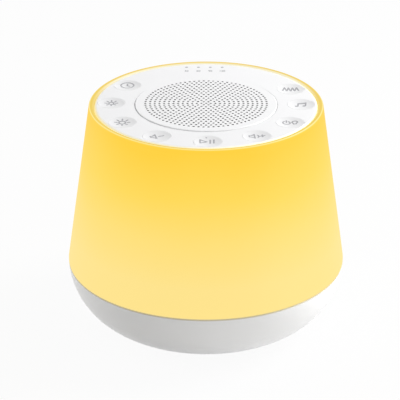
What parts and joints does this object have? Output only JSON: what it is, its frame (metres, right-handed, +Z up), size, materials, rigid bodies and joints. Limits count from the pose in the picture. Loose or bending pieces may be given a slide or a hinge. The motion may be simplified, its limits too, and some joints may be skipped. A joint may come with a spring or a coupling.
{
  "type": "white noise sound machine",
  "caption": "Free-standing round white noise sound machine: bowl base, tapered yellow lamp shade, and a white top panel with dished push keys around a perforated speaker grille.",
  "frame": {"origin": "on the surface that the machine stands on, under the middle of its foot", "axes": "+Z up through the speaker grille; -Y towards the front, where the play key is; +X to the right"},
  "size_m": [0.104, 0.104, 0.0881],
  "materials": {
    "white_shell": "white moulded plastic, satin gloss",
    "shade_plastic": "yellow translucent plastic, lit softly from inside",
    "white_panel": "white moulded plastic, fine satin",
    "white_key": "white moulded plastic with printed grey signs",
    "foot_rubber": "grey silicone rubber",
    "screen_cloth": "fine grey cloth",
    "clear_plastic": "frosted clear plastic",
    "lamp_body": "white lamp housing with yellow phosphor",
    "board_green": "green circuit board",
    "board_white": "white coated circuit board",
    "board_tan": "tan terminal board",
    "screw_steel": "plated steel",
    "inlet_steel": "bright stamped steel with a black tongue",
    "black_plastic": "black moulded plastic",
    "ivory_plastic": "ivory nylon",
    "black_steel": "black painted steel",
    "gasket_foam": "black foam",
    "plated_iron": "zinc plated iron",
    "magnet_ferrite": "dark grey ferrite",
    "cone_paper": "dark pressed paper",
    "coil_copper": "enamelled copper on a brown former",
    "spider_cloth": "treated amber cloth",
    "surround_rubber": "black rubber",
    "wire_red": "red insulation",
    "cable_grey": "light grey flat cable"
  },
  "bodies": {
    "housing": {"base_shell": "white_shell", "foot_pad": "foot_rubber", "lamp_shade": "shade_plastic", "top_panel": "white_panel", "speaker_grille": "white_panel", "dust_screen": "screen_cloth", "timer_light_pipe": "clear_plastic", "timer_leds": "lamp_body", "control_board": "board_green", "inner_frame": "white_shell", "frame_screws": "screw_steel", "base_screws": "screw_steel", "board_screws": "screw_steel", "lamp_board": "board_white", "lamp_leds": "lamp_body", "main_board": "board_green", "power_inlet": "inlet_steel", "circuit_parts": "black_plastic", "wire_sockets": "ivory_plastic", "speaker_basket": "black_steel", "speaker_gasket": "gasket_foam", "speaker_yoke": "plated_iron", "speaker_magnet": "magnet_ferrite", "speaker_top_plate": "plated_iron", "speaker_spider": "spider_cloth", "speaker_surround": "surround_rubber", "speaker_terminals": "board_tan", "speaker_wires": "wire_red", "control_cable": "cable_grey", "lamp_wires": "wire_red", "switch_timer": "black_plastic", "switch_light_down": "black_plastic", "switch_light_up": "black_plastic", "switch_volume_down": "black_plastic", "switch_play_pause": "black_plastic", "switch_volume_up": "black_plastic", "switch_power": "black_plastic", "switch_music": "black_plastic", "switch_noise": "black_plastic"},
    "cone_assembly": {"speaker_cone": "cone_paper", "speaker_dust_cap": "cone_paper", "voice_coil": "coil_copper"},
    "timer_key": {"key_timer": "white_key", "plunger_timer": "black_plastic"},
    "light_down_key": {"key_light_down": "white_key", "plunger_light_down": "black_plastic"},
    "light_up_key": {"key_light_up": "white_key", "plunger_light_up": "black_plastic"},
    "volume_down_key": {"key_volume_down": "white_key", "plunger_volume_down": "black_plastic"},
    "play_pause_key": {"key_play_pause": "white_key", "plunger_play_pause": "black_plastic"},
    "volume_up_key": {"key_volume_up": "white_key", "plunger_volume_up": "black_plastic"},
    "power_key": {"key_power": "white_key", "plunger_power": "black_plastic"},
    "music_key": {"key_music": "white_key", "plunger_music": "black_plastic"},
    "noise_key": {"key_noise": "white_key", "plunger_noise": "black_plastic"}
  },
  "joints": [
    {"name": "timer_key_press", "type": "slide", "parent": "housing", "child": "timer_key", "axis": [0, 0, -1], "range_m": [0, 0.0005], "stiffness_N_per_m": 1500, "springref_m": -0.0003},
    {"name": "light_down_key_press", "type": "slide", "parent": "housing", "child": "light_down_key", "axis": [0, 0, -1], "range_m": [0, 0.0005], "stiffness_N_per_m": 1500, "springref_m": -0.0003},
    {"name": "light_up_key_press", "type": "slide", "parent": "housing", "child": "light_up_key", "axis": [0, 0, -1], "range_m": [0, 0.0005], "stiffness_N_per_m": 1500, "springref_m": -0.0003},
    {"name": "volume_down_key_press", "type": "slide", "parent": "housing", "child": "volume_down_key", "axis": [0, 0, -1], "range_m": [0, 0.0005], "stiffness_N_per_m": 1500, "springref_m": -0.0003},
    {"name": "play_pause_key_press", "type": "slide", "parent": "housing", "child": "play_pause_key", "axis": [0, 0, -1], "range_m": [0, 0.0005], "stiffness_N_per_m": 1500, "springref_m": -0.0003},
    {"name": "volume_up_key_press", "type": "slide", "parent": "housing", "child": "volume_up_key", "axis": [0, 0, -1], "range_m": [0, 0.0005], "stiffness_N_per_m": 1500, "springref_m": -0.0003},
    {"name": "power_key_press", "type": "slide", "parent": "housing", "child": "power_key", "axis": [0, 0, -1], "range_m": [0, 0.0005], "stiffness_N_per_m": 1500, "springref_m": -0.0003},
    {"name": "music_key_press", "type": "slide", "parent": "housing", "child": "music_key", "axis": [0, 0, -1], "range_m": [0, 0.0005], "stiffness_N_per_m": 1500, "springref_m": -0.0003},
    {"name": "noise_key_press", "type": "slide", "parent": "housing", "child": "noise_key", "axis": [0, 0, -1], "range_m": [0, 0.0005], "stiffness_N_per_m": 1500, "springref_m": -0.0003},
    {"name": "speaker_cone_travel", "type": "slide", "parent": "housing", "child": "cone_assembly", "axis": [0, 0, 1], "range_m": [-0.0005, 0.0005], "stiffness_N_per_m": 2000, "deforming": ["speaker_surround", "speaker_spider"]}
  ]
}
